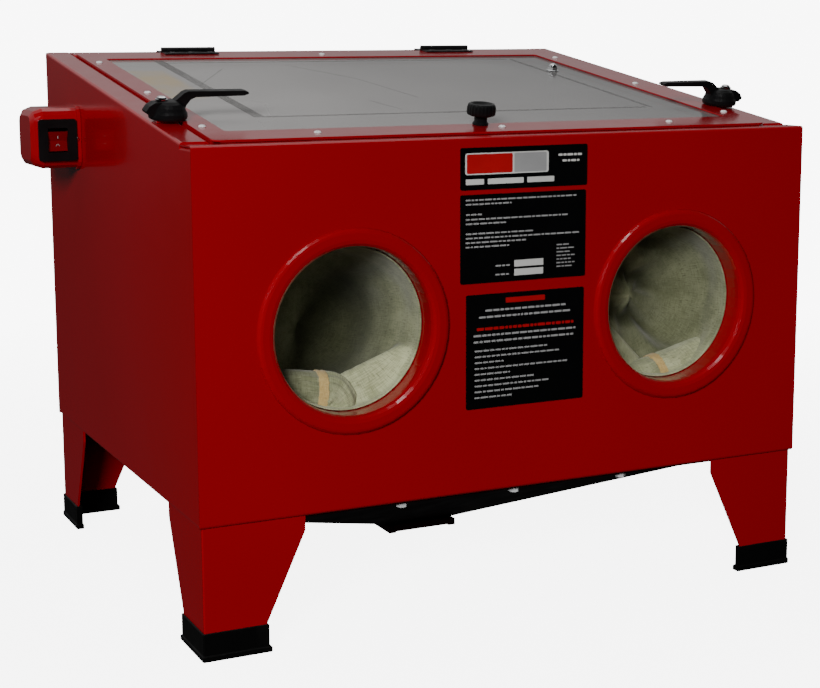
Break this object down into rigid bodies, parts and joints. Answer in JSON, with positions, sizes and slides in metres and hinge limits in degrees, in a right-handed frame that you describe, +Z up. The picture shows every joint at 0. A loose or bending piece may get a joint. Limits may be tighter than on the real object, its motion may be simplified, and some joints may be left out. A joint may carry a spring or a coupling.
{
  "type": "sandblast cabinet",
  "caption": "Bench-top sandblast cabinet: folded steel body on four booted legs, hinged window lid with latches, arm ports with gauntlets, gated hopper.",
  "frame": {"origin": "middle of the footprint of the whole object, on the bench", "axes": "+X to the right for someone working at the arm ports, +Y from the front with the arm ports to the back, +Z up"},
  "size_m": [0.654, 0.4774, 0.4848],
  "materials": {
    "red_paint": "gloss",
    "dark_paint": "satin",
    "black_plastic": "satin",
    "rubber": "matte",
    "black_steel": "satin",
    "chrome": "polished",
    "steel": "brushed",
    "brass": "machined",
    "aluminium": "cast",
    "cotton": "woven",
    "elastic": "woven",
    "lamp_cover": "satin",
    "red_lens": "gloss",
    "label": "satin",
    "ceramic": "matte",
    "filter": "matte",
    "foam": "foam",
    "glass": "clear"
  },
  "bodies": {
    "cabinet": {"air_inlet_fitting": "brass", "arm_port_left": "red_paint", "arm_port_right": "red_paint", "back_panel": "red_paint", "cable_gland": "black_plastic", "elastic_band_left": "elastic", "elastic_band_right": "elastic", "exhaust_cover": "black_plastic", "exhaust_filter": "filter", "foot_back_left": "rubber", "foot_back_right": "rubber", "foot_front_left": "rubber", "foot_front_right": "rubber", "front_panel": "red_paint", "gate_rail_left": "dark_paint", "gate_rail_right": "dark_paint", "gauntlet_left": "cotton", "gauntlet_right": "cotton", "glove_clamp_left": "steel", "glove_clamp_right": "steel", "gun_body": "aluminium", "gun_hanger": "steel", "gun_nozzle": "ceramic", "hinge_left_body_leaf": "black_steel", "hinge_left_pin": "black_steel", "hinge_right_body_leaf": "black_steel", "hinge_right_pin": "black_steel", "hopper": "dark_paint", "label_bottom": "label", "label_middle": "label", "label_top": "label", "lamp_housing": "aluminium", "lamp_lens": "lamp_cover", "left_side_panel": "red_paint", "leg_back_left": "red_paint", "leg_back_right": "red_paint", "leg_front_left": "red_paint", "leg_front_right": "red_paint", "pickup_tube": "steel", "right_side_panel": "red_paint", "seal_landing_frame": "red_paint", "switch_bezel": "black_plastic", "switch_box": "red_paint", "work_grate": "steel"},
    "lid": {"lid_frame": "red_paint", "window_pane": "glass", "window_retainer": "steel", "lid_gasket": "foam", "lid_knob": "black_plastic", "hinge_left_lid_leaf": "black_steel", "hinge_right_lid_leaf": "black_steel"},
    "latch_left": {"latch_lever_left": "black_plastic", "latch_spindle_left": "chrome"},
    "latch_right": {"latch_lever_right": "black_plastic", "latch_spindle_right": "chrome"},
    "switch_rocker": {"switch_rocker": "red_lens"},
    "gun_trigger": {"gun_trigger": "black_plastic"},
    "hopper_gate": {"hopper_gate": "dark_paint"}
  },
  "joints": [
    {"name": "lid_hinge", "type": "hinge", "parent": "cabinet", "child": "lid", "pos_m": [0.009, 0.2056, 0.48219], "axis": [-1, 0, 0], "range_deg": [0, 105]},
    {"name": "latch_left_turn", "type": "hinge", "parent": "lid", "child": "latch_left", "pos_m": [-0.271, -0.12819, 0.42571], "axis": [0, -0.1526, 0.9883], "range_deg": [0, 90]},
    {"name": "latch_right_turn", "type": "hinge", "parent": "lid", "child": "latch_right", "pos_m": [0.289, -0.12819, 0.42571], "axis": [0, 0.1526, -0.9883], "range_deg": [0, 90]},
    {"name": "switch_rocker_tilt", "type": "hinge", "parent": "cabinet", "child": "switch_rocker", "pos_m": [-0.3035, 0.10175, 0.4], "axis": [-1, 0, 0], "range_deg": [0, 16]},
    {"name": "gun_trigger_pull", "type": "hinge", "parent": "cabinet", "child": "gun_trigger", "pos_m": [0.264, 0.07475, 0.2845], "axis": [1, 0, 0], "range_deg": [0, 14], "stiffness_Nm_per_rad": 0.3, "springref_deg": -5.73},
    {"name": "hopper_gate_slide", "type": "slide", "parent": "cabinet", "child": "hopper_gate", "axis": [0, -1, 0], "range_m": [0, 0.05]}
  ]
}
